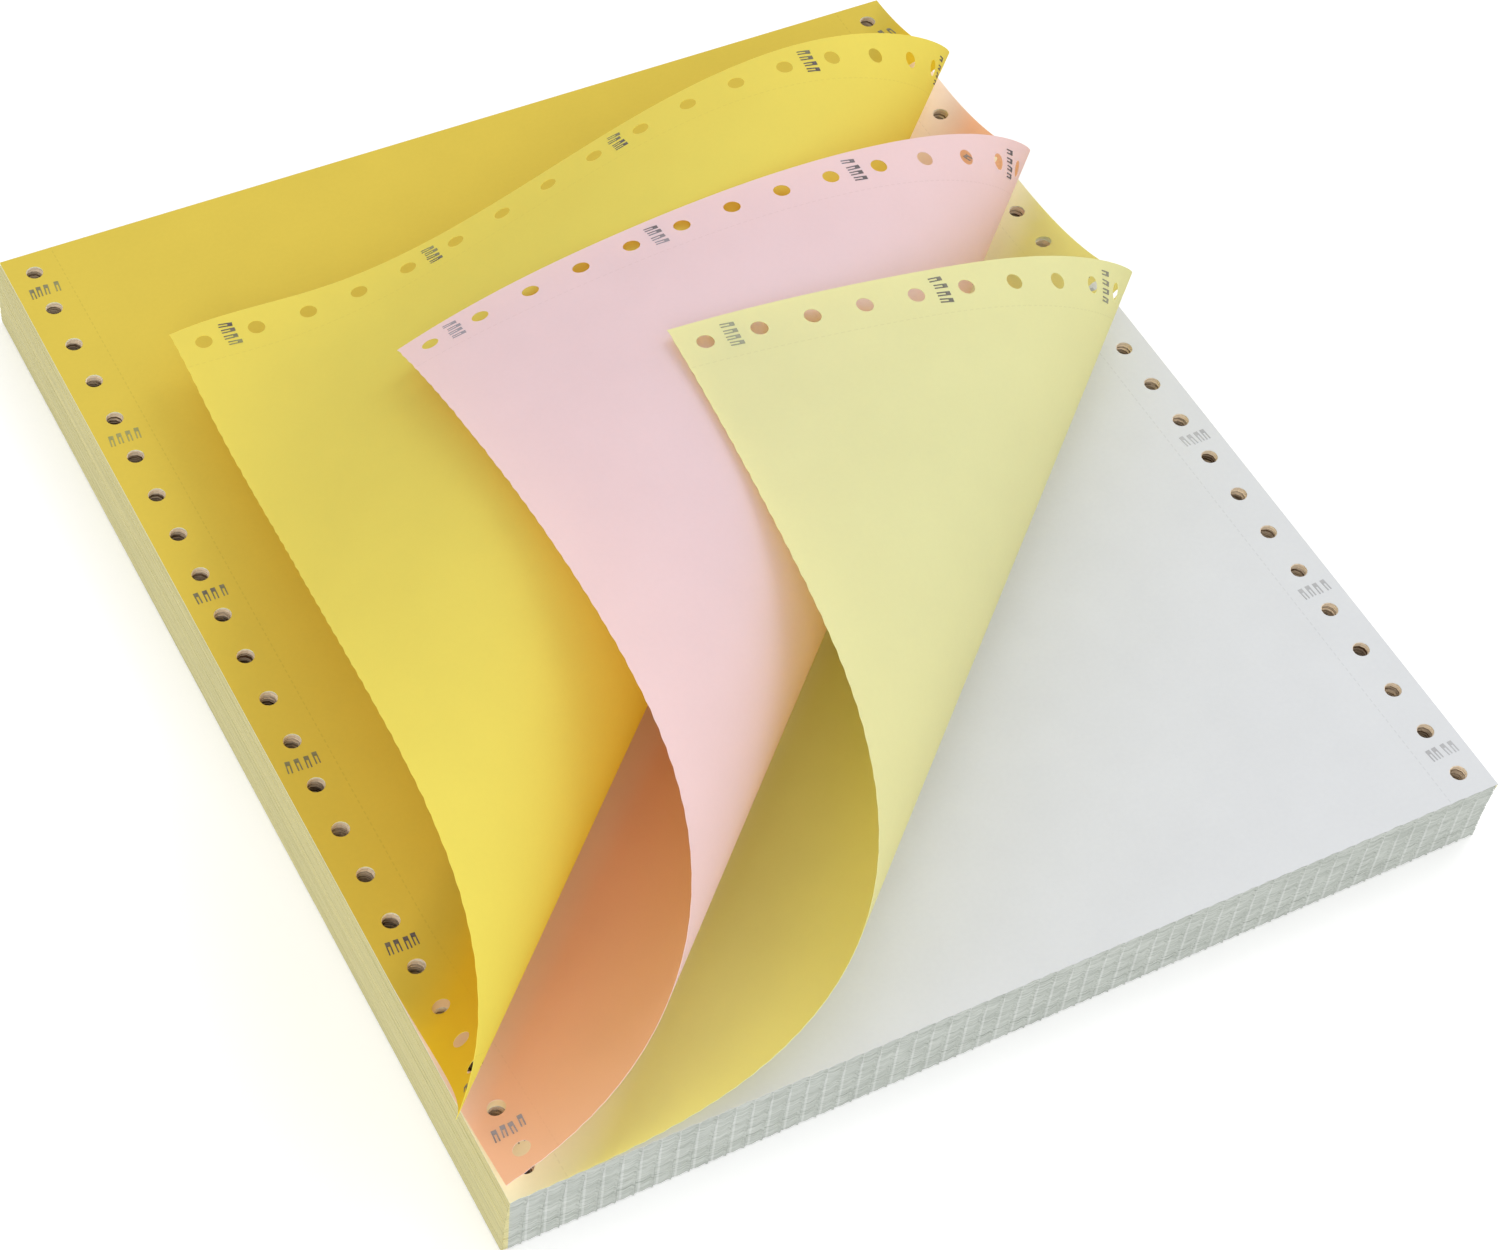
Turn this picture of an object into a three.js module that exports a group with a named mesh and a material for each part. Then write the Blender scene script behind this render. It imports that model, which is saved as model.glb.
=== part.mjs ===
// A pile of continuous fan-fold carbonless forms. The top form lies open: its white ply is
// flat, and its green, pink and yellow plies are rolled back from one near corner.
// Millimetres, +Z up. The origin is at the middle of the pile's underside. X runs across the
// paper, from one sprocket strip to the other, and -Y is the edge where the top form was burst.
import * as THREE from "three";
import { mergeVertices } from "three/addons/utils/BufferGeometryUtils.js";

const INCH = 25.4;

// The paper
const formWidth = 9.5 * INCH;
const formLength = 11 * INCH;
const pileHeight = 19;
const plyThickness = 0.1;

// The sprocket strips
const stripWidth = INCH / 2;
const holeDiameter = 4;
const holePitch = INCH / 2;
const holeInset = INCH / 4;

// The ribs that the fold perforation leaves along both folded faces of the pile
const ribPitch = INCH / 6;
const ribDepth = 0.5;

// How coarsely a rolled ply is bent: the most that it turns from one fold line to the next
const facetTurn = 15;

// The rolled plies. Each lies flat up to a first line, and rolls up beyond it about lines that
// fan out from one far point. fromFold is the distance from the far fold to that first line,
// along the paper's right edge, slant is the line's angle to the burst edge in degrees, and
// fanCentre is how far beyond the right edge the lines meet. bend gives the turn rate, in
// degrees over the whole roll, at shares of the way from the first line to the lifted corner.
const yellowRoll = {
  fromFold: 0.5,
  slant: 42.25,
  fanCentre: 2000,
  bend: [[0, 310], [0.25, 552], [0.5, 165], [0.75, -80], [0.88, -260], [1, 465]],
};
const pinkRoll = {
  fromFold: 35,
  slant: 40.5,
  fanCentre: 640,
  bend: [[0, 140], [0.2, 375], [0.4, 440], [0.55, 122], [0.8, 50], [1, 140]],
};
const greenRoll = {
  fromFold: 69,
  slant: 41,
  fanCentre: 2000,
  bend: [[0, 35], [0.2, 280], [0.38, 415], [0.55, 245], [0.72, 30], [1, 55]],
};

const materials = {
  pile: new THREE.MeshStandardMaterial({ color: 0xc9ccc4, roughness: 0.9, metalness: 0 }),
  white: new THREE.MeshStandardMaterial({ color: 0xe4e6e8, roughness: 0.85, metalness: 0 }),
  green: new THREE.MeshStandardMaterial({ color: 0xdfe39a, roughness: 0.85, metalness: 0 }),
  pink: new THREE.MeshStandardMaterial({ color: 0xe6c4cc, roughness: 0.85, metalness: 0 }),
  yellow: new THREE.MeshStandardMaterial({ color: 0xdcc854, roughness: 0.85, metalness: 0 }),
};

// The holes' places along a strip, from the far fold to the burst edge
function holeRows() {
  const count = Math.floor((formLength - 2 * holeInset) / holePitch + 1.001);
  return Array.from({ length: count }, (_, i) => ((count - 1) / 2 - i) * holePitch);
}

// A hole as an octagon, counterclockwise, with a flat side towards each edge of the paper
function holeOutline(x, y) {
  return Array.from({ length: 8 }, (_, i) =>
    new THREE.Vector2(holeDiameter / 2, 0)
      .rotateAround(new THREE.Vector2(), ((i + 0.5) * Math.PI) / 4)
      .add(new THREE.Vector2(x, y)),
  );
}

// The pile's outline: straight cut sides, and a row of shallow ribs along both folded faces
function pileOutline() {
  const ribs = Math.round(formWidth / ribPitch);
  const step = formWidth / ribs;
  const face = [];
  for (let i = 0; i < ribs; i++) {
    const x = -formWidth / 2 + i * step;
    face.push(new THREE.Vector2(x, -formLength / 2 + (i ? ribDepth : 0)));
    face.push(new THREE.Vector2(x + step / 2, -formLength / 2));
  }
  face.push(new THREE.Vector2(formWidth / 2, -formLength / 2));
  const opposite = face.map((p) => new THREE.Vector2(-p.x, -p.y));
  return [...face, ...opposite];
}

function pileGeometry() {
  const shape = new THREE.Shape(pileOutline());
  for (const x of [-formWidth / 2 + holeInset, formWidth / 2 - holeInset])
    for (const y of holeRows()) shape.holes.push(new THREE.Path(holeOutline(x, y).reverse()));
  return new THREE.ExtrudeGeometry(shape, { depth: pileHeight, bevelEnabled: false });
}

// The flat ply as convex pieces that meet edge to edge: eight round each hole, and the panel
// between the two strips
function flatPieces() {
  const [w, l] = [formWidth / 2, formLength / 2];
  const rows = holeRows();
  const bounds = [l, ...rows.slice(1).map((y, i) => (y + rows[i]) / 2), -l];
  const pieces = [];
  for (const [x0, x1, holeX] of [
    [-w, -w + stripWidth, -w + holeInset],
    [w - stripWidth, w, w - holeInset],
  ])
    rows.forEach((y, row) => {
      const [y0, y1] = [bounds[row + 1], bounds[row]];
      const corners = [[x1, y1], [x0, y1], [x0, y0], [x1, y0]].map((c) => new THREE.Vector2(...c));
      const hole = holeOutline(holeX, y);
      corners.forEach((corner, i) => {
        const [before, after, next] = [hole[2 * i], hole[2 * i + 1], hole[(2 * i + 2) % 8]];
        pieces.push([corner, after, before], [corner, corners[(i + 1) % 4], next, after]);
      });
    });
  pieces.push([
    ...bounds.map((y) => new THREE.Vector2(-w + stripWidth, y)),
    ...bounds.map((y) => new THREE.Vector2(w - stripWidth, y)).reverse(),
  ]);
  return pieces;
}

// A roll's fold lines, from the first to the one through the lifted corner. The paper keeps its
// lengths: each line through the fan's centre stays straight, and the paper turns about it.
// flat is a line's direction in the flat paper, line its direction once rolled, and normal the
// paper's normal there.
function foldLines(roll) {
  const steps = 400;
  const slant = THREE.MathUtils.degToRad(roll.slant);
  const first = new THREE.Vector2(-Math.cos(slant), -Math.sin(slant));
  const centre = new THREE.Vector2(formWidth / 2, formLength / 2 - roll.fromFold);
  centre.addScaledVector(first, -roll.fanCentre);
  const corner = new THREE.Vector2(formWidth / 2, -formLength / 2).sub(centre);
  const span = Math.atan2(first.cross(corner), first.dot(corner));
  const rate = (share) => {
    const i = roll.bend.findIndex(([at]) => at > share);
    const [[s0, r0], [s1, r1]] = [roll.bend[i - 1], roll.bend[i]];
    return THREE.MathUtils.mapLinear(share, s0, s1, r0, r1);
  };
  const line = new THREE.Vector3(first.x, first.y, 0);
  const normal = new THREE.Vector3(0, 0, 1);
  const lines = [];
  let turned = 0;
  for (let i = 0; i <= steps; i++) {
    if (i === 0 || i === steps || turned >= facetTurn) {
      const flat = first.clone().rotateAround(new THREE.Vector2(), (span * i) / steps);
      lines.push({ flat, line: line.clone(), normal: normal.clone() });
      turned = 0;
    }
    if (i === steps) break;
    const turn = rate((i + 0.5) / steps) / steps;
    const spin = line.clone().multiplyScalar(THREE.MathUtils.degToRad(turn));
    spin.addScaledVector(normal, span / steps);
    const angle = spin.length();
    spin.normalize();
    line.applyAxisAngle(spin, angle);
    normal.applyAxisAngle(spin, angle);
    turned += Math.abs(turn);
  }
  return { centre, lines };
}

// Cut convex pieces in two wherever a line through the centre crosses them. A crossing is
// worked out from an edge's two ends in one fixed order, so neighbours get the same point.
function cutAlong(pieces, centre, direction) {
  const side = (p) => {
    const s = direction.cross(p.clone().sub(centre));
    return Math.abs(s) < 1e-3 ? 0 : s;
  };
  const crossing = (p, q) => {
    const [a, b] = p.x < q.x || (p.x === q.x && p.y < q.y) ? [p, q] : [q, p];
    return a.clone().lerp(b, side(a) / (side(a) - side(b)));
  };
  return pieces.flatMap((piece) => {
    const sides = piece.map(side);
    if (!sides.some((s) => s > 0) || !sides.some((s) => s < 0)) return [piece];
    return [1, -1].map((keep) =>
      piece.flatMap((p, i) => {
        const j = (i + 1) % piece.length;
        const kept = sides[i] * keep >= 0 ? [p] : [];
        return sides[i] * sides[j] < 0 ? [...kept, crossing(p, piece[j])] : kept;
      }),
    );
  });
}

// A convex piece as triangles. A piece of more than four points gets one more in its middle,
// because some of its points lie in line.
function triangulate(piece) {
  if (piece.length === 3) return [piece];
  const area = ([a, b, c]) => b.clone().sub(a).cross(c.clone().sub(a));
  if (piece.length === 4) {
    const [a, b, c, d] = piece;
    const splits = [[[a, b, c], [a, c, d]], [[b, c, d], [b, d, a]]];
    const least = splits.map((split) => Math.min(...split.map(area)));
    return splits[least[0] >= least[1] ? 0 : 1];
  }
  const middle = new THREE.Vector2();
  piece.forEach((p) => middle.addScaledVector(p, 1 / piece.length));
  return piece.map((p, i) => [middle, p, piece[(i + 1) % piece.length]]);
}

// Where a point of the flat ply comes to lie: its places on the ply's lower and upper face.
// Between two fold lines the ply is plane.
function facePoints(p, { bottom, top }, rolled) {
  const flat = [bottom, top].map((z) => new THREE.Vector3(p.x, p.y, z));
  if (!rolled) return flat;
  const arm = p.clone().sub(rolled.centre);
  if (rolled.lines[0].flat.cross(arm) < 1e-3) return flat;
  const after = rolled.lines.findIndex((line, i) => i > 0 && line.flat.cross(arm) < 1e-3);
  const [from, to] = after < 0 ? rolled.lines.slice(-2) : rolled.lines.slice(after - 1, after + 1);
  const whole = from.flat.cross(to.flat);
  const [a, b] = [arm.cross(to.flat) / whole, from.flat.cross(arm) / whole];
  const lower = new THREE.Vector3(rolled.centre.x, rolled.centre.y, bottom)
    .addScaledVector(from.line, a)
    .addScaledVector(to.line, b);
  const normal = from.normal.clone().multiplyScalar(a).addScaledVector(to.normal, b).normalize();
  return [lower, lower.clone().addScaledVector(normal, top - bottom)];
}

// A ply as one closed solid: both faces, and a wall along every edge of the flat ply
function plyGeometry(level, roll) {
  const rolled = roll && foldLines(roll);
  let pieces = flatPieces();
  if (rolled)
    for (const { flat } of rolled.lines) pieces = cutAlong(pieces, rolled.centre, flat);
  const placed = new Map();
  const key = (p) => `${p.x.toFixed(3)},${p.y.toFixed(3)}`;
  const faces = (p) => {
    if (!placed.has(key(p))) placed.set(key(p), facePoints(p, level, rolled));
    return placed.get(key(p));
  };
  const positions = [];
  const add = (...points) => points.forEach((p) => positions.push(p.x, p.y, p.z));
  const edges = new Map();
  for (const [a, b, c] of pieces.flatMap(triangulate)) {
    const [[a0, a1], [b0, b1], [c0, c1]] = [a, b, c].map(faces);
    add(a1, b1, c1, a0, c0, b0);
    for (const [p, q] of [[a, b], [b, c], [c, a]])
      if (!edges.delete(`${key(q)};${key(p)}`)) edges.set(`${key(p)};${key(q)}`, [p, q]);
  }
  for (const [p, q] of edges.values()) {
    const [[p0, p1], [q0, q1]] = [faces(p), faces(q)];
    add(p0, q0, q1, p0, q1, p1);
  }
  const geometry = new THREE.BufferGeometry();
  geometry.setAttribute("position", new THREE.Float32BufferAttribute(positions, 3));
  return mergeVertices(geometry, 1e-4);
}

const root = new THREE.Group();

const pile = new THREE.Mesh(pileGeometry(), materials.pile);
pile.name = "form_pile";
root.add(pile);

// The top form's four plies, from the lowest up, each lying on the one below
let bottom = pileHeight;
for (const [name, material, roll] of [
  ["white_ply", materials.white, null],
  ["green_ply", materials.green, greenRoll],
  ["pink_ply", materials.pink, pinkRoll],
  ["yellow_ply", materials.yellow, yellowRoll],
]) {
  const top = bottom + plyThickness;
  const ply = new THREE.Mesh(plyGeometry({ bottom, top }, roll), material);
  ply.name = name;
  root.add(ply);
  bottom = top;
}

export default root;
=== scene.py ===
"""A pile of fan-fold carbonless forms whose top form has three plies rolled back from a corner.

Metres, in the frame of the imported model: X across the paper, +Y towards the far fold, +Z up.
"""

import math

import bmesh
import bpy
import numpy as np
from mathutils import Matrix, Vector


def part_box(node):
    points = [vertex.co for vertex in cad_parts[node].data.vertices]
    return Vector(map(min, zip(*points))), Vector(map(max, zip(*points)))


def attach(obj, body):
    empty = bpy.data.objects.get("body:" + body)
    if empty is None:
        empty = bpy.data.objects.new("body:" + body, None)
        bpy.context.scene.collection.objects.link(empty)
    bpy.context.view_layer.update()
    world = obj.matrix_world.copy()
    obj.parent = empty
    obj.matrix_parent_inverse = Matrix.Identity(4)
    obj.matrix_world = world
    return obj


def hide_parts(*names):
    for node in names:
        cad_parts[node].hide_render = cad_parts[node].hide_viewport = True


bl_info = {
    "name": "Carbonless form pile",
    "version": (1, 0, 0),
    "blender": (4, 5, 0),
    "location": "3D View > Sidebar > Forms",
    "description": "Builds a pile of fan-fold carbonless forms and its studio",
    "category": "Add Mesh",
}

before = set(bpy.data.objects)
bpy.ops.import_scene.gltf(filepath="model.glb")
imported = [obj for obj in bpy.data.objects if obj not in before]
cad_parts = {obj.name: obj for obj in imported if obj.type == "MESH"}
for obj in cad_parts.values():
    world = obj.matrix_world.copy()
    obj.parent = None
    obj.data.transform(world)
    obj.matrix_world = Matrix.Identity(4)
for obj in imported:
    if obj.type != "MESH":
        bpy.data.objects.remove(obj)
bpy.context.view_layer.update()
PILE_LOW, PILE_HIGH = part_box("form_pile")

MM = 0.001
INCH = 0.0254
FORM_WIDTH = PILE_HIGH.x - PILE_LOW.x
FORM_LENGTH = PILE_HIGH.y - PILE_LOW.y
PILE_HEIGHT = PILE_HIGH.z - PILE_LOW.z
STRIP_WIDTH = INCH / 2
HOLE_PITCH = INCH / 2
HOLE_ROWS = 22
RIB_PITCH = INCH / 6
RIB_PHASES = (0, 0.1, 0.5, 0.9)  # where a rib's corners lie, as shares of the rib pitch
RIB_DEPTHS = (0, 1, 0.45, 0.9)  # how far in they lie, as shares of the rib depth
CELL_STEPS = 6  # grid steps along one side of the square round a sprocket hole
CELL_GROWTHS = (1.35, 1.3)  # each ring of faces round a hole, against the one inside it
GRID_STEP = HOLE_PITCH / CELL_STEPS
WELD_DISTANCE = 0.02 * MM
PUNCH_SIDES = 10
TOOTH_SPREAD = (0.6, 1.3)  # shallowest and deepest tooth of a burst edge, against the tooth depth
CRIMPED_ROWS = (0, 4, 8, 12, 16, 20)  # a group of crimps follows each of these holes
TONGUES = 4  # crimped tongues in a group
FIRST_TONGUE = 3.2 * MM  # from the sheet's side to a group's first tongue
TONGUE_STRAY = 0.12 * MM
TONGUE_TURN = math.radians(5)
TONGUE_TURN_STRAY = 0.05  # radians
LIFT_SHARE = 0.08  # share of a roll over which light begins to pass through the ply
SMOOTH_ANGLE = math.radians(35)
PILE_SEED = 7

FLAT_UV = "flat sheet"
LIFTED = "lifted"

# Each roll: distance of its start from the far fold, slant of its first line, distance from that
# start to the fan's centre, shares along the roll, and the bending there in degrees per whole roll.
ROLLS = {
    "yellow": (
        0.5 * MM, math.radians(42.25), 2.0,
        (0, 0.25, 0.5, 0.75, 0.88, 1), (310, 552, 165, -80, -260, 465),
    ),
    "pink": (
        35 * MM, math.radians(40.5), 0.64,
        (0, 0.2, 0.4, 0.55, 0.8, 1), (140, 375, 440, 122, 50, 140),
    ),
    "green": (
        69 * MM, math.radians(41), 2.0,
        (0, 0.2, 0.38, 0.55, 0.72, 1), (35, 280, 415, 245, 30, 55),
    ),
}

CLOUD_SCALE, CLOUD_DETAIL = 60.0, 4.0
CLOUD_STRENGTH = 0.12
FIBRE_SCALE, FIBRE_DETAIL = 900.0, 6.0
FIBRE_SHARE = 0.4
PAPER_BUMP, PAPER_BUMP_HEIGHT = 0.12, 0.05 * MM
PAPER_ROUGHNESS, PAPER_SPECULAR = 0.85, 0.2

CUT_WIDTH = 0.28 * MM  # the perforation's cuts
CUT_PITCH = 1.6 * MM
CUT_SHARE = 0.6  # cut part of a perforation's pitch
CUT_DARKNESS = 0.62
CUT_STRENGTH = 0.25

# Crimp marks: painted shade in the slits of each crimped tongue, with lighter speckles, faded here and
# there.
CRIMP_SLIT_SHADE = (0.028, 0.023, 0.026, 1.0)
CRIMP_SHADE_SPECKLE = (0.2, 0.17, 0.17, 1.0)
CRIMP_TINT = 0.85
SHADE_SPECKLE_SCALE, SHADE_FADE_SCALE = 1400.0, 45.0
FADE_FROM, FADE_TO = 0.4, 0.62  # noise values between which a mark fades
FADE_RANGE = 0.3
FLAT_FAINTNESS = 0.68  # share of the paper's own tint in the painted slit shade of a ply that isn't rolled

FOLD_STRETCH = (180.0, 60.0, 4200.0)  # fineness of the layers along X, Y and Z
SIDE_STRETCH = (18.0, 18.0, 5200.0)
HOLE_STRETCH = (90.0, 90.0, 2100.0)
LAYER_DETAIL = 3.0
LAYER_FROM, LAYER_TO = 0.35, 0.65  # noise values spread from shade to light
RIDGE_HIGHLIGHT_PHASE = 0.44  # the painted highlight on a ridge begins this far from its rib's middle, as a share of the rib pitch
RIDGE_HIGHLIGHT_STRENGTH = 0.25
RIDGE_HIGHLIGHT = (0.95, 0.95, 0.95, 1)
SIDE_DEPTH = 0.3 * MM  # faces this near the pile's sides take the colour of the cut edges
HOLE_REACH = 2.6 * MM  # faces this near a row of holes take the colour of the hole walls
ROW_END = 2 * MM  # and none nearer to a fold than this
# Painted light: a pale band at the top of each hole's wall, where the wall is lit.
LIT_RIM_STRENGTH = 0.7
EDGE_GRAIN_SCALE, EDGE_GRAIN_DETAIL = 700.0, 5.0
EDGE_BUMP, EDGE_BUMP_HEIGHT = 0.25, 0.1 * MM
EDGE_ROUGHNESS, EDGE_SPECULAR = 0.9, 0.15

FLOOR_SIZE = 12
FLOOR_GAP = 0.2 * MM
FLOOR_GREY = (0.8, 0.8, 0.8, 1)
FLOOR_LIFT = 0.12  # emission that the camera alone sees
FLOOR_ROUGHNESS = 0.9
WHITE = (1, 1, 1, 1)
LIGHT_TARGET = (0, 0, 0.03)
KEY_PLACE, KEY_SIZE = (0.9, 0.5, 1.3), 0.9
FILL_PLACE, FILL_SIZE = (-0.6, -1.0, 0.9), 0.7
SENSOR_WIDTH = 36  # millimetres
CLIP_START = 0.01


# Materials


def linear(red, green, blue):
    """A colour given in 0 to 255 display values, as the shader's own values."""
    def channel(value):
        value /= 255
        return value / 12.92 if value <= 0.04045 else ((value + 0.055) / 1.055) ** 2.4

    return (channel(red), channel(green), channel(blue), 1.0)


class NodeTree:
    """Short calls for adding and joining shader nodes."""

    def __init__(self, tree):
        self.tree = tree

    def add(self, kind, inputs=None, **settings):
        node = self.tree.nodes.new(kind)
        for name, value in settings.items():
            setattr(node, name, value)
        for key, value in (inputs or {}).items():
            if isinstance(value, bpy.types.NodeSocket):
                self.tree.links.new(value, node.inputs[key])
            else:
                node.inputs[key].default_value = value
        return node

    def math(self, operation, first, second=0.0):
        return self.add("ShaderNodeMath", {0: first, 1: second}, operation=operation).outputs[0]

    def mix(self, factor, first, second):
        """Mixes two colours. A mix node's colour sockets are its inputs 6 and 7 and its output 2."""
        inputs = {"Factor": factor, 6: first, 7: second}
        return self.add("ShaderNodeMix", inputs, data_type="RGBA").outputs[2]

    def noise(self, place, scale, detail=2.0):
        inputs = {"Vector": place, "Scale": scale, "Detail": detail}
        return self.add("ShaderNodeTexNoise", inputs).outputs[0]

    def bump(self, height, strength, distance):
        inputs = {"Strength": strength, "Distance": distance, "Height": height}
        return self.add("ShaderNodeBump", inputs).outputs[0]

    def spread(self, value, low, high, new_low=0.0, new_high=1.0):
        """Maps the values from low to high onto the range from new_low to new_high."""
        inputs = {
            "Value": value, "From Min": low, "From Max": high, "To Min": new_low, "To Max": new_high,
        }
        return self.add("ShaderNodeMapRange", inputs).outputs[0]


def new_group(name, inputs, outputs):
    """A new node group with sockets given by name and kind, and its nodes and end sockets."""
    group = bpy.data.node_groups.new(name, "ShaderNodeTree")
    for side, sockets in (("INPUT", inputs), ("OUTPUT", outputs)):
        for socket, kind in sockets.items():
            group.interface.new_socket(socket, in_out=side, socket_type="NodeSocket" + kind)
    nodes = NodeTree(group)
    return group, nodes, nodes.add("NodeGroupInput").outputs, nodes.add("NodeGroupOutput").inputs


def new_material(name):
    """A new material, with its nodes, its shader and the call that links two sockets."""
    material = bpy.data.materials.new(name)
    material.use_nodes = True
    tree = material.node_tree
    return material, NodeTree(tree), tree.nodes["Principled BSDF"], tree.links.new


def paper_grain_group():
    """Node group: the cloudy tint and the fine fibre height of thin paper."""
    name = "paper grain"
    if name in bpy.data.node_groups:
        return bpy.data.node_groups[name]
    group, nodes, inputs, outputs = new_group(
        name, {"Place": "Vector", "Tint": "Color", "Cloud": "Float"}, {"Color": "Color", "Height": "Float"}
    )
    cloud = nodes.noise(inputs["Place"], CLOUD_SCALE, CLOUD_DETAIL)
    fibre = nodes.noise(inputs["Place"], FIBRE_SCALE, FIBRE_DETAIL)
    both = nodes.math(
        "ADD", nodes.math("MULTIPLY", cloud, 1 - FIBRE_SHARE), nodes.math("MULTIPLY", fibre, FIBRE_SHARE)
    )
    swing = nodes.math("MULTIPLY", nodes.math("SUBTRACT", both, 0.5), inputs["Cloud"])
    shade = nodes.math("ADD", 1.0, swing)
    scaled = nodes.add("ShaderNodeVectorMath", {0: inputs["Tint"], "Scale": shade}, operation="SCALE")
    group.links.new(scaled.outputs[0], outputs["Color"])
    group.links.new(fibre, outputs["Height"])
    return group


def perforation_group():
    """Node group: a mask of the short cuts that let the sprocket strips tear off."""
    name = "strip perforation"
    if name in bpy.data.node_groups:
        return bpy.data.node_groups[name]
    group, nodes, inputs, outputs = new_group(
        name, {"Across": "Float", "Along": "Float"}, {"Mask": "Float"}
    )
    inner = FORM_WIDTH / 2 - STRIP_WIDTH
    away = nodes.math("ABSOLUTE", nodes.math("SUBTRACT", nodes.math("ABSOLUTE", inputs["Across"]), inner))
    near = nodes.math("LESS_THAN", away, CUT_WIDTH / 2)
    positive = nodes.math("ADD", inputs["Along"], 1.0)
    turns = nodes.math("FRACT", nodes.math("DIVIDE", positive, CUT_PITCH))
    cut = nodes.math("LESS_THAN", turns, CUT_SHARE)
    group.links.new(nodes.math("MULTIPLY", near, cut), outputs["Mask"])
    return group


def darker(tint, share):
    return tuple(channel * share for channel in tint[:3]) + (1.0,)


def paper_material(name, tint, passed, see_through):
    """Matt thin paper that lets light of the colour passed through. Patterns follow the flat sheet."""
    material, nodes, shader, link = new_material(name)
    place = nodes.add("ShaderNodeUVMap", uv_map=FLAT_UV).outputs[0]
    flat = nodes.add("ShaderNodeVectorMath", {0: place, 1: (0.5, 0.5, 0)}, operation="SUBTRACT")
    flat = nodes.add("ShaderNodeVectorMath", {0: flat.outputs[0], "Scale": FORM_LENGTH}, operation="SCALE")
    split = nodes.add("ShaderNodeSeparateXYZ", {0: flat.outputs[0]}).outputs
    grain = nodes.add("ShaderNodeGroup", node_tree=paper_grain_group())
    link(flat.outputs[0], grain.inputs["Place"])
    grain.inputs["Tint"].default_value = tint
    grain.inputs["Cloud"].default_value = CLOUD_STRENGTH
    cuts = nodes.add("ShaderNodeGroup", node_tree=perforation_group())
    link(split["X"], cuts.inputs["Across"])
    link(split["Y"], cuts.inputs["Along"])
    cut = nodes.math("MULTIPLY", cuts.outputs["Mask"], CUT_STRENGTH)
    color = nodes.mix(cut, grain.outputs["Color"], darker(tint, CUT_DARKNESS))
    link(color, shader.inputs["Base Color"])
    link(nodes.bump(grain.outputs["Height"], PAPER_BUMP, PAPER_BUMP_HEIGHT), shader.inputs["Normal"])
    shader.inputs["Roughness"].default_value = PAPER_ROUGHNESS
    shader.inputs["Specular IOR Level"].default_value = PAPER_SPECULAR
    if see_through:
        lifted = nodes.add("ShaderNodeAttribute", attribute_name=LIFTED).outputs["Fac"]
        glow = nodes.add("ShaderNodeBsdfTranslucent", {"Color": passed})
        both = nodes.add("ShaderNodeMixShader", {0: nodes.math("MULTIPLY", lifted, see_through)})
        link(shader.outputs[0], both.inputs[1])
        link(glow.outputs[0], both.inputs[2])
        link(both.outputs[0], material.node_tree.nodes["Material Output"].inputs[0])
    return material


def crimp_shade_material(name, tint, faintness):
    """Painted shade in a crimped tongue's slits: dark with lighter speckles, fading here and there towards
    the paper's darkened tint.
    """
    material, nodes, shader, link = new_material(name)
    place = nodes.add("ShaderNodeTexCoord").outputs["Object"]
    speckle = nodes.noise(place, SHADE_SPECKLE_SCALE)
    fade_noise = nodes.noise(place, SHADE_FADE_SCALE)
    fade = nodes.spread(fade_noise, FADE_FROM, FADE_TO, faintness, faintness + FADE_RANGE)
    color = nodes.mix(fade, nodes.mix(speckle, CRIMP_SLIT_SHADE, CRIMP_SHADE_SPECKLE), darker(tint, CRIMP_TINT))
    link(color, shader.inputs["Base Color"])
    shader.inputs["Roughness"].default_value = EDGE_ROUGHNESS
    return material


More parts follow.
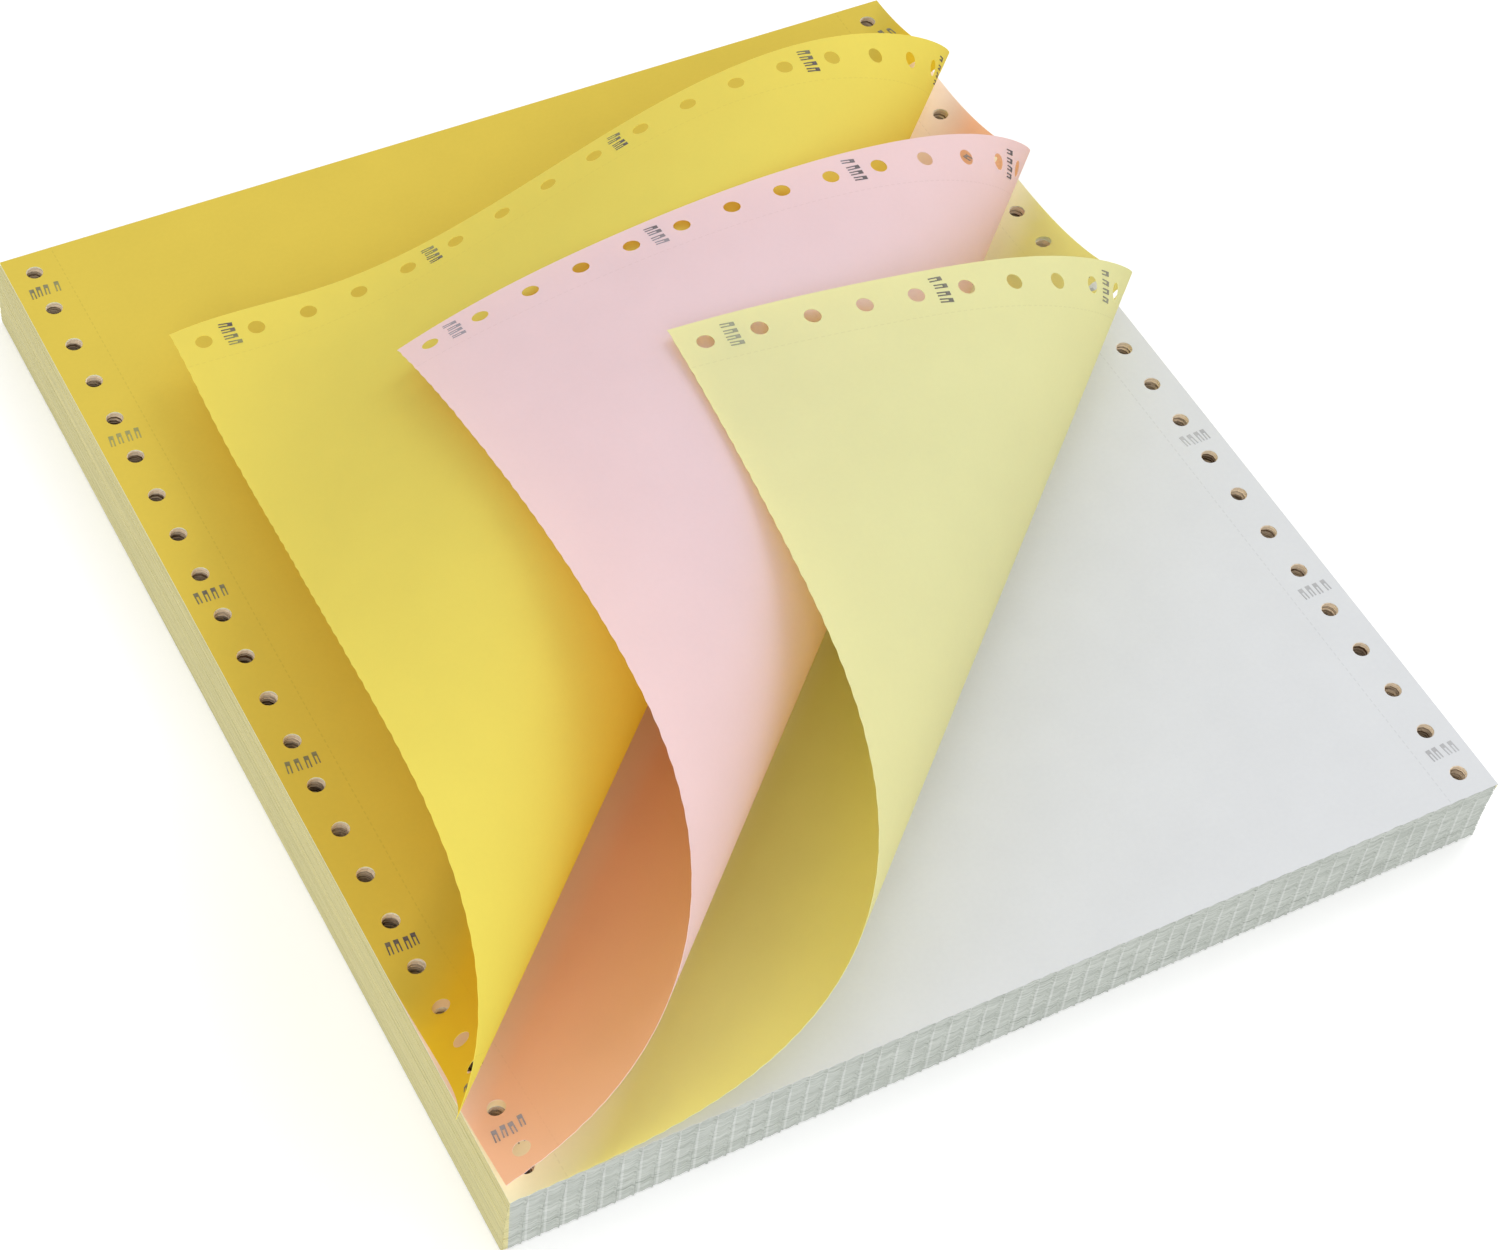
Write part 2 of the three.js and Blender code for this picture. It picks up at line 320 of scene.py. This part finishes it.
def pile_material(name, settings):
    """The edges of the folded forms: grey-white at the folds with a painted highlight on each ridge, tinted
    at the cut sides, and layered at the holes with painted shade deep down and a painted lit rim at the
    top.
    """
    material, nodes, shader, link = new_material(name)
    place = nodes.add("ShaderNodeTexCoord").outputs["Object"]
    x, y, z = nodes.add("ShaderNodeSeparateXYZ", {0: place}).outputs
    away_x, away_y = nodes.math("ABSOLUTE", x), nodes.math("ABSOLUTE", y)

    def layers(light, shade, stretch):
        """Thin layers between two colours. The stretch gives their fineness along each axis."""
        stretched = nodes.add("ShaderNodeVectorMath", {0: place, 1: stretch}, operation="MULTIPLY")
        noise = nodes.noise(stretched.outputs[0], 1.0, LAYER_DETAIL)
        return nodes.mix(nodes.spread(noise, LAYER_FROM, LAYER_TO), linear(*shade), linear(*light))

    fold = layers(settings.fold_light, settings.fold_shade, FOLD_STRETCH)
    # Painted highlight: a pale line along the outer ridge between neighbouring ribs.
    phase = nodes.math("FRACT", nodes.math("DIVIDE", nodes.math("ADD", x, FORM_WIDTH / 2), RIB_PITCH))
    off_middle = nodes.math("ABSOLUTE", nodes.math("SUBTRACT", phase, 0.5))
    ridge_highlight = nodes.math("GREATER_THAN", off_middle, RIDGE_HIGHLIGHT_PHASE)
    fold = nodes.mix(nodes.math("MULTIPLY", ridge_highlight, RIDGE_HIGHLIGHT_STRENGTH), fold, RIDGE_HIGHLIGHT)
    cut = layers(settings.cut_light, settings.cut_shade, SIDE_STRETCH)
    color = nodes.mix(nodes.math("GREATER_THAN", away_x, FORM_WIDTH / 2 - SIDE_DEPTH), fold, cut)
    # Hole walls: paper layers between a pale tone and a dark brown that paints the shade deep in the holes.
    hole = layers(settings.hole_light, settings.hole_painted_shade, HOLE_STRETCH)
    # A band at the top of each hole takes the pale tone: painted light where the wall's top is lit.
    rim = nodes.math("GREATER_THAN", z, PILE_HIGH.z - settings.hole_lit_rim)
    hole = nodes.mix(nodes.math("MULTIPLY", rim, LIT_RIM_STRENGTH), hole, linear(*settings.hole_light))
    in_row = nodes.math("LESS_THAN", away_y, FORM_LENGTH / 2 - ROW_END)
    from_row = nodes.math("ABSOLUTE", nodes.math("SUBTRACT", away_x, (FORM_WIDTH - STRIP_WIDTH) / 2))
    in_hole = nodes.math("MULTIPLY", nodes.math("LESS_THAN", from_row, HOLE_REACH), in_row)
    color = nodes.mix(in_hole, color, hole)
    grain = nodes.noise(place, EDGE_GRAIN_SCALE, EDGE_GRAIN_DETAIL)
    link(color, shader.inputs["Base Color"])
    link(nodes.bump(grain, EDGE_BUMP, EDGE_BUMP_HEIGHT), shader.inputs["Normal"])
    shader.inputs["Roughness"].default_value = EDGE_ROUGHNESS
    shader.inputs["Specular IOR Level"].default_value = EDGE_SPECULAR
    return material


# Settings


def length_property(name, description, default):
    return bpy.props.FloatProperty(name=name, description=description, default=default, unit="LENGTH")


def colour_property(name, default):
    """A colour in 0 to 255 display values."""
    return bpy.props.IntVectorProperty(
        name=name, description=name + " colour, 0 to 255", default=default, min=0, max=255
    )


def share_property(name, default):
    """A share from 0 to 1."""
    return bpy.props.FloatProperty(
        name=name, description=name + ", share of the light", default=default, min=0, max=1,
        subtype="FACTOR",
    )


# Mesh helpers


def deselect_all():
    """Deselects everything, out of edit mode."""
    if bpy.context.object and bpy.context.object.mode != "OBJECT":
        bpy.ops.object.mode_set(mode="OBJECT")
    bpy.ops.object.select_all(action="DESELECT")


def make_active(*objects):
    deselect_all()
    for piece in objects:
        piece.select_set(True)
    bpy.context.view_layer.objects.active = objects[0]


def apply_modifier(piece, kind, **settings):
    """Adds a modifier and applies it."""
    make_active(piece)
    modifier = piece.modifiers.new(kind.title(), kind)
    for name, value in settings.items():
        setattr(modifier, name, value)
    bpy.ops.object.modifier_apply(modifier=modifier.name)


def apply_place(piece):
    """Moves a piece's place, turn and scale into its mesh, so its origin is the world's."""
    make_active(piece)
    bpy.ops.object.transform_apply(location=True, rotation=True, scale=True)


def coordinates(mesh):
    """The mesh's points as an array, one row each."""
    values = np.empty(len(mesh.vertices) * 3)
    mesh.vertices.foreach_get("co", values)
    return values.reshape(-1, 3)


def set_coordinates(mesh, values):
    mesh.vertices.foreach_set("co", np.asarray(values, dtype=float).ravel())
    mesh.update()


def join(*objects):
    make_active(*objects)
    bpy.ops.object.join()
    return bpy.context.object


def weld(piece, distance):
    """Merges points that lie closer than distance."""
    make_active(piece)
    bpy.ops.object.mode_set(mode="EDIT")
    bpy.ops.mesh.select_all(action="SELECT")
    bpy.ops.mesh.remove_doubles(threshold=distance)
    bpy.ops.object.mode_set(mode="OBJECT")


def own_copy(piece):
    """A copy of a piece with a mesh of its own."""
    copy = piece.copy()
    copy.data = piece.data.copy()
    bpy.context.collection.objects.link(copy)
    return copy


def repeat_down_strip(piece):
    """Repeats a piece that stands at the first hole for every hole of its row."""
    apply_modifier(
        piece,
        "ARRAY",
        count=HOLE_ROWS,
        use_relative_offset=False,
        use_constant_offset=True,
        constant_offset_displace=(0, -HOLE_PITCH, 0),
    )


def row_place(row):
    """A hole's distance from the sheet's middle, counted from the far fold."""
    return ((HOLE_ROWS - 1) / 2 - row) * HOLE_PITCH


# Plies


def hole_cell(hole_radius):
    """One square of the sprocket strip with its round hole, at the origin."""
    sides = 4 * CELL_STEPS
    deselect_all()
    bpy.ops.mesh.primitive_circle_add(vertices=sides, radius=hole_radius)
    cell = bpy.context.object
    bpy.ops.object.mode_set(mode="EDIT")
    for growth in CELL_GROWTHS:
        bpy.ops.mesh.extrude_edges_move()
        bpy.ops.transform.resize(value=(growth, growth, 1))
    bpy.ops.mesh.extrude_edges_move()
    edit = bmesh.from_edit_mesh(cell.data)
    for vertex in (v for v in edit.verts if v.select):
        angle = math.atan2(vertex.co.y, vertex.co.x)
        quarter = round(angle / (math.pi / 2))
        offset = (angle - quarter * math.pi / 2) / (math.pi / 4)
        if offset < -0.999:  # a corner belongs to the quarter before it
            offset, quarter = 1.0, quarter - 1
        corner = Vector((1.0, offset)) * HOLE_PITCH / 2
        turn = quarter * math.pi / 2
        vertex.co.x = corner.x * math.cos(turn) - corner.y * math.sin(turn)
        vertex.co.y = corner.x * math.sin(turn) + corner.y * math.cos(turn)
    bmesh.update_edit_mesh(cell.data)
    bpy.ops.object.mode_set(mode="OBJECT")
    return cell


def flat_sheet(name, hole_radius):
    """A flat ply without thickness: two rows of hole cells and the panel between them."""
    strips = []
    for side in (-1, 1):
        strip = hole_cell(hole_radius)
        strip.location = (side * (FORM_WIDTH - STRIP_WIDTH) / 2, row_place(0), 0)
        apply_place(strip)
        repeat_down_strip(strip)
        strips.append(strip)
    deselect_all()
    bpy.ops.mesh.primitive_grid_add(
        x_subdivisions=round((FORM_WIDTH - 2 * STRIP_WIDTH) / GRID_STEP),
        y_subdivisions=round(FORM_LENGTH / GRID_STEP),
        size=1,
    )
    panel = bpy.context.object
    panel.scale = (FORM_WIDTH - 2 * STRIP_WIDTH, FORM_LENGTH, 1)
    apply_place(panel)
    sheet = join(panel, *strips)
    sheet.name = sheet.data.name = name
    weld(sheet, WELD_DISTANCE)
    make_active(sheet)
    bpy.ops.object.mode_set(mode="EDIT")
    bpy.ops.mesh.select_all(action="SELECT")
    bpy.ops.mesh.normals_make_consistent(inside=False)
    bpy.ops.object.mode_set(mode="OBJECT")
    if sheet.data.polygons[0].normal.z < 0:
        sheet.data.flip_normals()
    return sheet


def burst_edge(sheet, depth, seed):
    """Pulls the near edge into the small uneven teeth of a burst perforation."""
    draw = np.random.default_rng(seed)
    points = coordinates(sheet.data)
    edge = np.flatnonzero(points[:, 1] < -FORM_LENGTH / 2 + 0.1 * GRID_STEP)
    tooth = np.round((points[edge, 0] + FORM_WIDTH / 2) / GRID_STEP).astype(int) % 2
    points[edge, 1] += tooth * depth * draw.uniform(*TOOTH_SPREAD, len(edge))
    set_coordinates(sheet.data, points)


def mark_lift(sheet, roll):
    """Keeps how far each point is on its way up the roll, for the light that passes through."""
    lift = np.clip(roll.share(coordinates(sheet.data)) / LIFT_SHARE, 0, 1)
    sheet.data.attributes.new(LIFTED, "FLOAT", "POINT").data.foreach_set("value", lift)


def mark_flat_places(sheet):
    """Keeps each point's place on the flat sheet as a UV map, for the paper's patterns."""
    layers = sheet.data.uv_layers
    for other in list(layers):
        layers.remove(other)
    layer = layers.new(name=FLAT_UV)
    points = coordinates(sheet.data)
    corners = np.empty(len(sheet.data.loops), dtype=int)
    sheet.data.loops.foreach_get("vertex_index", corners)
    layer.data.foreach_set("uv", (points[corners, :2] / FORM_LENGTH + 0.5).ravel())


def crimp_mark(settings):
    """One pressed tongue: two thin slits along the strip, joined by a torn end."""
    deselect_all()
    bpy.ops.mesh.primitive_grid_add(x_subdivisions=3, y_subdivisions=2, size=2)
    mark = bpy.context.object
    half_width, half_length = settings.crimp_width / 2, settings.crimp_length / 2
    across = {-1.0: -half_width, -0.333: settings.slit_width - half_width}
    across |= {-key: -value for key, value in across.items()}
    along = {-1.0: -half_length, 0.0: half_length - settings.torn_length, 1.0: half_length}
    for vertex in mark.data.vertices:
        vertex.co.x = across[round(vertex.co.x, 3)]
        vertex.co.y = along[round(vertex.co.y, 3)]
    bpy.ops.object.mode_set(mode="EDIT")
    edit = bmesh.from_edit_mesh(mark.data)
    for face in edit.faces:
        middle = face.calc_center_median()
        face.select_set(abs(middle.x) < 0.01 * half_width and middle.y < half_length - settings.torn_length)
    bmesh.update_edit_mesh(mark.data)
    bpy.ops.mesh.delete(type="FACE")
    bpy.ops.object.mode_set(mode="OBJECT")
    apply_modifier(mark, "SOLIDIFY", thickness=settings.crimp_height, offset=0)
    return mark


def crimp_marks(name, settings, seed):
    """The groups of four crimped tongues between neighbouring holes, on both strips."""
    draw = np.random.default_rng(seed)
    mark = crimp_mark(settings)
    marks = []
    for side in (-1, 1):
        for row in CRIMPED_ROWS:
            for tongue in range(TONGUES):
                copy = own_copy(mark)
                stray = draw.normal(0, TONGUE_STRAY, 2)
                across = side * (FORM_WIDTH / 2 - FIRST_TONGUE - tongue * settings.crimp_pitch)
                copy.location = (across + stray[0], row_place(row + 0.5) + stray[1], 0)
                copy.rotation_euler.z = side * TONGUE_TURN + draw.normal(0, TONGUE_TURN_STRAY)
                apply_place(copy)
                marks.append(copy)
    bpy.data.objects.remove(mark)
    marks = join(*marks)
    marks.name = marks.data.name = name
    return marks


class Roll:
    """How a ply rolls up: where its points come to lie, from their places on the flat sheet."""

    STEPS = 600

    def __init__(self, from_fold, slant, fan_centre, shares, rates):
        """Turns the line of bending step by step, with the rates given in degrees per whole roll."""
        start = np.array([FORM_WIDTH / 2, FORM_LENGTH / 2 - from_fold])
        self.first = -np.array([math.cos(slant), math.sin(slant)])
        self.centre = start - fan_centre * self.first
        corner = np.array([FORM_WIDTH / 2, -FORM_LENGTH / 2]) - self.centre
        self.span = math.atan2(
            self.first[0] * corner[1] - self.first[1] * corner[0], self.first @ corner
        )
        middles = (np.arange(self.STEPS) + 0.5) / self.STEPS
        turns = np.interp(middles, shares, np.radians(rates)) / self.STEPS
        line = np.array([*self.first, 0.0])
        normal = np.array([0.0, 0.0, 1.0])
        self.lines, self.normals = [line], [normal]
        for turn in turns:
            spin = turn * line + self.span / self.STEPS * normal
            angle = np.linalg.norm(spin)
            spin /= angle
            line, normal = (self.turned(v, spin, angle) for v in (line, normal))
            self.lines.append(line)
            self.normals.append(normal)
        self.lines, self.normals = np.array(self.lines), np.array(self.normals)

    @staticmethod
    def turned(vector, axis, angle):
        """A vector turned about an axis of length 1."""
        return (
            vector * math.cos(angle)
            + np.cross(axis, vector) * math.sin(angle)
            + axis * (axis @ vector) * (1 - math.cos(angle))
        )

    def share(self, points):
        """How far along the roll flat points lie: below 0 they stay flat, 1 is the corner's line."""
        arms = points[:, :2] - self.centre
        across = self.first[0] * arms[:, 1] - self.first[1] * arms[:, 0]
        return np.arctan2(across, arms @ self.first) / self.span

    def place(self, points, base):
        """Rolls points that lie about the flat height base, keeping their height off the ply."""
        arms = points[:, :2] - self.centre
        share = self.share(points)
        rolled = share > 0
        at = np.clip(share, 0, 1) * self.STEPS
        low = np.minimum(at.astype(int), self.STEPS - 1)
        part = (at - low)[:, None]
        line = self.lines[low] * (1 - part) + self.lines[low + 1] * part
        normal = self.normals[low] * (1 - part) + self.normals[low + 1] * part
        length = np.linalg.norm(arms, axis=1)[:, None]
        centre = np.array([*self.centre, base])
        bent = centre + line * length + normal * (points[:, 2:] - base)
        return np.where(rolled[:, None], bent, points)


def build_ply(settings, name, level, roll):
    """One ply of the top form, from flat sheet to rolled sheet, with its crimp marks."""
    node = name + "_ply"
    base = PILE_HIGH.z + level * settings.ply_thickness
    sheet = flat_sheet(name + "_sheet", settings.hole_diameter / 2)
    burst_edge(sheet, settings.tooth_depth, seed=level)
    mark_flat_places(sheet)
    apply_modifier(sheet, "SOLIDIFY", thickness=settings.ply_thickness, offset=1)
    points = coordinates(sheet.data)
    points[:, 2] += base - points[:, 2].min()
    set_coordinates(sheet.data, points)
    for side in ("top", "underside"):
        colour = getattr(settings, name + "_" + side)
        passed, see_through = (0, 0, 0), 0
        if roll:
            passed = getattr(settings, name + "_" + side + "_passed")
            see_through = getattr(settings, ("top" if side == "top" else name) + "_see_through")
        sheet.data.materials.append(
            paper_material(name + " paper " + side, linear(*colour), linear(*passed), see_through)
        )
    for face in sheet.data.polygons:
        face.material_index = int(face.center.z < base + 0.9 * settings.ply_thickness)
    marks = crimp_marks(name + "_crimps", settings, seed=level)
    points = coordinates(marks.data)
    points[:, 2] += base + settings.ply_thickness / 2
    set_coordinates(marks.data, points)
    # The crimp marks carry painted slit shade, fainter on a ply that isn't rolled.
    faintness = 0.0 if roll else FLAT_FAINTNESS
    marks.data.materials.append(crimp_shade_material(name + " crimp", linear(*colour), faintness))
    if roll:
        mark_lift(sheet, roll)
    for piece in (sheet, marks):
        if roll:
            set_coordinates(piece.data, roll.place(coordinates(piece.data), base))
        make_active(piece)
        bpy.ops.object.shade_smooth_by_angle(angle=SMOOTH_ANGLE)
        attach(piece, "root")
    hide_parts(node)


class PlySettings(bpy.types.PropertyGroup):
    """Sizes and colours of the top form's plies. Colours are in 0 to 255 display values."""

    ply_thickness: length_property("Ply thickness", "Thickness of one ply", 0.1 * MM)
    hole_diameter: length_property("Hole diameter", "Sprocket hole across", 4 * MM)
    tooth_depth: length_property("Tooth depth", "Depth of the burst edge's teeth", 0.18 * MM)
    crimp_width: length_property("Crimp width", "Width of one crimped tongue", 1.1 * MM)
    crimp_length: length_property("Crimp length", "Length of one crimped tongue", 3.2 * MM)
    crimp_pitch: length_property("Crimp pitch", "From one tongue to the next", 2 * MM)
    crimp_height: length_property("Crimp height", "From one side's slit edges to the other's", 0.24 * MM)
    slit_width: length_property("Slit width", "Width of a tongue's slits", 0.28 * MM)
    torn_length: length_property("Torn length", "Length of a tongue's torn end", 1.1 * MM)
    top_see_through: share_property("See-through of the plies' tops", 0.7)
    green_see_through: share_property("Green see-through", 0.45)
    pink_see_through: share_property("Pink see-through", 0.42)
    yellow_see_through: share_property("Yellow see-through", 0.5)
    white_top: colour_property("White top", (213, 215, 218))
    white_underside: colour_property("White underside", (213, 215, 218))
    # Green top: partly the paper's own tint, partly a warm cast that paints the warm light under the pink
    # flap.
    green_top: colour_property("Green top", (251, 245, 203))
    green_underside: colour_property("Green underside", (246, 255, 206))
    green_top_passed: colour_property("Light through to the green top", (252, 241, 148))
    green_underside_passed: colour_property("Light through to the green underside", (245, 240, 160))
    # Pink top: partly the paper's own tint, partly a warm salmon cast that paints the yellow light
    # reflected onto it.
    pink_top: colour_property("Pink top", (250, 228, 213))
    pink_underside: colour_property("Pink underside", (250, 240, 252))
    pink_top_passed: colour_property("Light through to the pink top", (255, 218, 174))
    pink_underside_passed: colour_property("Light through to the pink underside", (255, 219, 190))
    yellow_top: colour_property("Yellow top", (215, 191, 76))
    yellow_underside: colour_property("Yellow underside", (253, 255, 130))
    yellow_top_passed: colour_property("Light through to the yellow top", (255, 234, 76))
    yellow_underside_passed: colour_property("Light through to the yellow underside", (255, 234, 76))


class FORMS_OT_plies(bpy.types.Operator):
    """Build the four plies of the top form, three of them rolled back"""

    bl_idname = "forms.plies"
    bl_label = "Top form's plies"

    def execute(self, context):
        for level, name in enumerate(("white", "green", "pink", "yellow")):
            roll = Roll(*ROLLS[name]) if name in ROLLS else None
            build_ply(context.scene.form_plies, name, level, roll)
        return {"FINISHED"}


# Pile


class PileSettings(bpy.types.PropertyGroup):
    """Sizes and colours of the folded forms below the top one."""

    forms: bpy.props.IntProperty(name="Forms", description="Folded forms in the pile", default=38, min=2)
    hole_diameter: length_property("Hole diameter", "Sprocket hole across", 4 * MM)
    rib_depth: length_property("Rib depth", "Depth of the ribs along a fold", 0.45 * MM)
    fold_round: length_property("Fold rounding", "How far a fold curves in at top and underside", 0.1 * MM)
    stray: length_property("Stray", "How far a form lies out of line", 0.07 * MM)
    lean: length_property("Lean", "How far the lowest form lies to the left", 1.2 * MM)
    # Height of the band of painted light at the top of each hole.
    hole_lit_rim: length_property("Hole rim", "Height of the light rim at the top of each hole", 1.1 * MM)
    fold_light: colour_property("Fold light", (206, 210, 204))
    fold_shade: colour_property("Fold shade", (180, 185, 178))
    cut_light: colour_property("Cut light", (230, 222, 172))
    cut_shade: colour_property("Cut shade", (208, 202, 152))
    # The dark hole tone paints the shade deep in the holes; the pale hole tone also paints the lit rim at
    # their top.
    hole_light: colour_property("Hole light", (250, 232, 206))
    hole_painted_shade: colour_property("Hole shade", (92, 68, 46))


def form_outline(settings):
    """Points round a folded form. Ridges, where the paper was left uncut, part the ribs."""
    ribs = round(FORM_WIDTH / RIB_PITCH)
    depths = settings.rib_depth * np.array(RIB_DEPTHS)
    phases = (np.arange(ribs)[:, None] + np.array(RIB_PHASES)).ravel()
    x = np.append(phases, ribs) * RIB_PITCH - FORM_WIDTH / 2
    y = FORM_LENGTH / 2 - np.append(np.tile(depths, ribs), 0)
    near = np.stack([x, -y], 1)
    far = np.stack([x[::-1], y[::-1]], 1)
    return np.concatenate([near, far])


def form_slab(settings, height):
    """One folded form: a thin slab, rounded at its folds, with its sprocket holes."""
    outline = form_outline(settings)
    deselect_all()
    bpy.ops.mesh.primitive_circle_add(vertices=len(outline), fill_type="NGON")
    slab = bpy.context.object
    flat = np.zeros((len(outline), 3))
    flat[np.arange(len(outline)), :2] = outline
    set_coordinates(slab.data, flat)
    bpy.ops.object.mode_set(mode="EDIT")
    bpy.ops.mesh.select_all(action="SELECT")
    for _ in range(2):
        bpy.ops.mesh.extrude_region_move(TRANSFORM_OT_translate={"value": (0, 0, height / 2)})
    bpy.ops.mesh.select_all(action="SELECT")
    bpy.ops.mesh.normals_make_consistent(inside=False)
    bpy.ops.object.mode_set(mode="OBJECT")
    points = coordinates(slab.data)
    folded = np.abs(points[:, 2] - height / 2) > height / 4
    points[:, 1] -= np.sign(points[:, 1]) * settings.fold_round * folded
    set_coordinates(slab.data, points)

    punches = []
    for side in (-1, 1):
        deselect_all()
        bpy.ops.mesh.primitive_cylinder_add(
            vertices=PUNCH_SIDES,
            radius=settings.hole_diameter / 2,
            depth=4 * height,
            location=(side * (FORM_WIDTH - STRIP_WIDTH) / 2, row_place(0), 0),
        )
        punch = bpy.context.object
        apply_place(punch)
        repeat_down_strip(punch)
        punches.append(punch)
    punch = join(*punches)
    apply_modifier(slab, "BOOLEAN", operation="DIFFERENCE", object=punch, solver="EXACT")
    bpy.data.objects.remove(punch)
    return slab


def build_pile(settings):
    """The pile as a stack of folded forms, each a little out of line with the next."""
    draw = np.random.default_rng(PILE_SEED)
    height = PILE_HEIGHT / settings.forms
    last = settings.forms - 1
    slab = form_slab(settings, height)
    slabs = []
    for form in range(settings.forms):
        copy = own_copy(slab)
        points = coordinates(copy.data)
        across, along = draw.normal(0, settings.stray, 2)
        inset = abs(draw.normal(0, settings.stray))
        edge = np.abs(points[:, 1]) > FORM_LENGTH / 2 - 2 * settings.rib_depth
        points[:, 0] += across - settings.lean * (1 - (form / last) ** 3)
        points[:, 1] += np.where(edge, -np.sign(points[:, 1]) * inset, along)
        points[:, 2] += PILE_LOW.z + form * height
        set_coordinates(copy.data, points)
        slabs.append(copy)
    bpy.data.objects.remove(slab)
    pile = join(*slabs)
    pile.name = pile.data.name = "folded_forms"
    make_active(pile)
    bpy.ops.object.shade_smooth_by_angle(angle=SMOOTH_ANGLE)
    pile.data.materials.append(pile_material("folded paper edges", settings))
    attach(pile, "root")
    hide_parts("form_pile")


class FORMS_OT_pile(bpy.types.Operator):
    """Build the pile of folded forms below the top form"""

    bl_idname = "forms.pile"
    bl_label = "Pile of forms"

    def execute(self, context):
        build_pile(context.scene.form_pile)
        return {"FINISHED"}


# Stage


class StageSettings(bpy.types.PropertyGroup):
    """Camera and light."""

    camera_place: bpy.props.FloatVectorProperty(
        name="Camera place", description="Where the camera stands", default=(-0.2784, -0.4280, 0.6130),
        subtype="TRANSLATION",
    )
    camera_turn: bpy.props.FloatVectorProperty(
        name="Camera turn",
        description="The camera's turn about X, Y and Z",
        default=tuple(math.radians(a) for a in (38.65, -4.79, -28.22)),
        subtype="EULER",
    )
    lens: bpy.props.FloatProperty(
        name="Lens", description="Focal length in millimetres", default=81.96
    )
    key_power: bpy.props.FloatProperty(
        name="Key light", description="Power of the large soft light", default=6.0, unit="POWER"
    )
    fill_power: bpy.props.FloatProperty(
        name="Fill light", description="Power of the soft light at the near left", default=5.5,
        unit="POWER",
    )
    world_light: bpy.props.FloatProperty(
        name="World light", description="Strength of the light from all round", default=0.8
    )


def area_light(name, place, size, power):
    """A square soft light that shines at the object."""
    deselect_all()
    bpy.ops.object.light_add(type="AREA", location=place)
    light = bpy.context.object
    light.name = name
    light.data.shape = "SQUARE"
    light.data.size = size
    light.data.energy = power
    direction = Vector(LIGHT_TARGET) - Vector(place)
    light.rotation_euler = direction.to_track_quat("-Z", "Y").to_euler()


def floor_material():
    """A matt grey floor that the camera alone sees as white."""
    material, nodes, shader, link = new_material("floor")
    seen = nodes.add("ShaderNodeLightPath").outputs["Is Camera Ray"]
    link(nodes.mix(seen, FLOOR_GREY, WHITE), shader.inputs["Base Color"])
    link(nodes.math("MULTIPLY", seen, FLOOR_LIFT), shader.inputs["Emission Strength"])
    shader.inputs["Emission Color"].default_value = WHITE
    shader.inputs["Roughness"].default_value = FLOOR_ROUGHNESS
    shader.inputs["Specular IOR Level"].default_value = 0.0
    return material


def build_stage(settings):
    """The floor, the light from all round, two soft lights and the camera."""
    deselect_all()
    bpy.ops.mesh.primitive_plane_add(size=FLOOR_SIZE, location=(0, 0, PILE_LOW.z - FLOOR_GAP))
    floor = bpy.context.object
    floor.name = "floor"
    floor.data.materials.append(floor_material())

    world = bpy.data.worlds.new("studio")
    bpy.context.scene.world = world
    world.use_nodes = True
    background = world.node_tree.nodes["Background"]
    background.inputs["Color"].default_value = WHITE
    background.inputs["Strength"].default_value = settings.world_light

    area_light("key light", KEY_PLACE, KEY_SIZE, settings.key_power)
    area_light("fill light", FILL_PLACE, FILL_SIZE, settings.fill_power)

    deselect_all()
    bpy.ops.object.camera_add(location=settings.camera_place, rotation=settings.camera_turn)
    camera = bpy.context.object
    camera.name = "camera"
    camera.data.lens = settings.lens
    camera.data.sensor_width = SENSOR_WIDTH
    camera.data.clip_start = CLIP_START
    bpy.context.scene.camera = camera
    bpy.context.scene.view_settings.view_transform = "Standard"


class FORMS_OT_stage(bpy.types.Operator):
    """Build the floor, lights and camera"""

    bl_idname = "forms.stage"
    bl_label = "Stage"

    def execute(self, context):
        build_stage(context.scene.form_stage)
        return {"FINISHED"}


class FORMS_PT_panel(bpy.types.Panel):
    """Sizes, colours and pieces of the form pile"""

    bl_idname = "FORMS_PT_panel"
    bl_label = "Carbonless forms"
    bl_space_type = "VIEW_3D"
    bl_region_type = "UI"
    bl_category = "Forms"

    def draw(self, context):
        for operator, group in (
            (FORMS_OT_pile, context.scene.form_pile),
            (FORMS_OT_plies, context.scene.form_plies),
            (FORMS_OT_stage, context.scene.form_stage),
        ):
            column = self.layout.column()
            column.operator(operator.bl_idname)
            for name in group.__annotations__:
                column.prop(group, name)


CLASSES = (
    PlySettings,
    PileSettings,
    StageSettings,
    FORMS_OT_plies,
    FORMS_OT_pile,
    FORMS_OT_stage,
    FORMS_PT_panel,
)


def register():
    for cls in CLASSES:
        bpy.utils.register_class(cls)
    bpy.types.Scene.form_plies = bpy.props.PointerProperty(type=PlySettings)
    bpy.types.Scene.form_pile = bpy.props.PointerProperty(type=PileSettings)
    bpy.types.Scene.form_stage = bpy.props.PointerProperty(type=StageSettings)


def unregister():
    for name in ("form_plies", "form_pile", "form_stage"):
        delattr(bpy.types.Scene, name)
    for cls in reversed(CLASSES):
        bpy.utils.unregister_class(cls)


def main():
    register()
    bpy.ops.forms.pile()
    bpy.ops.forms.plies()
    bpy.ops.forms.stage()


if __name__ == "__main__":
    main()
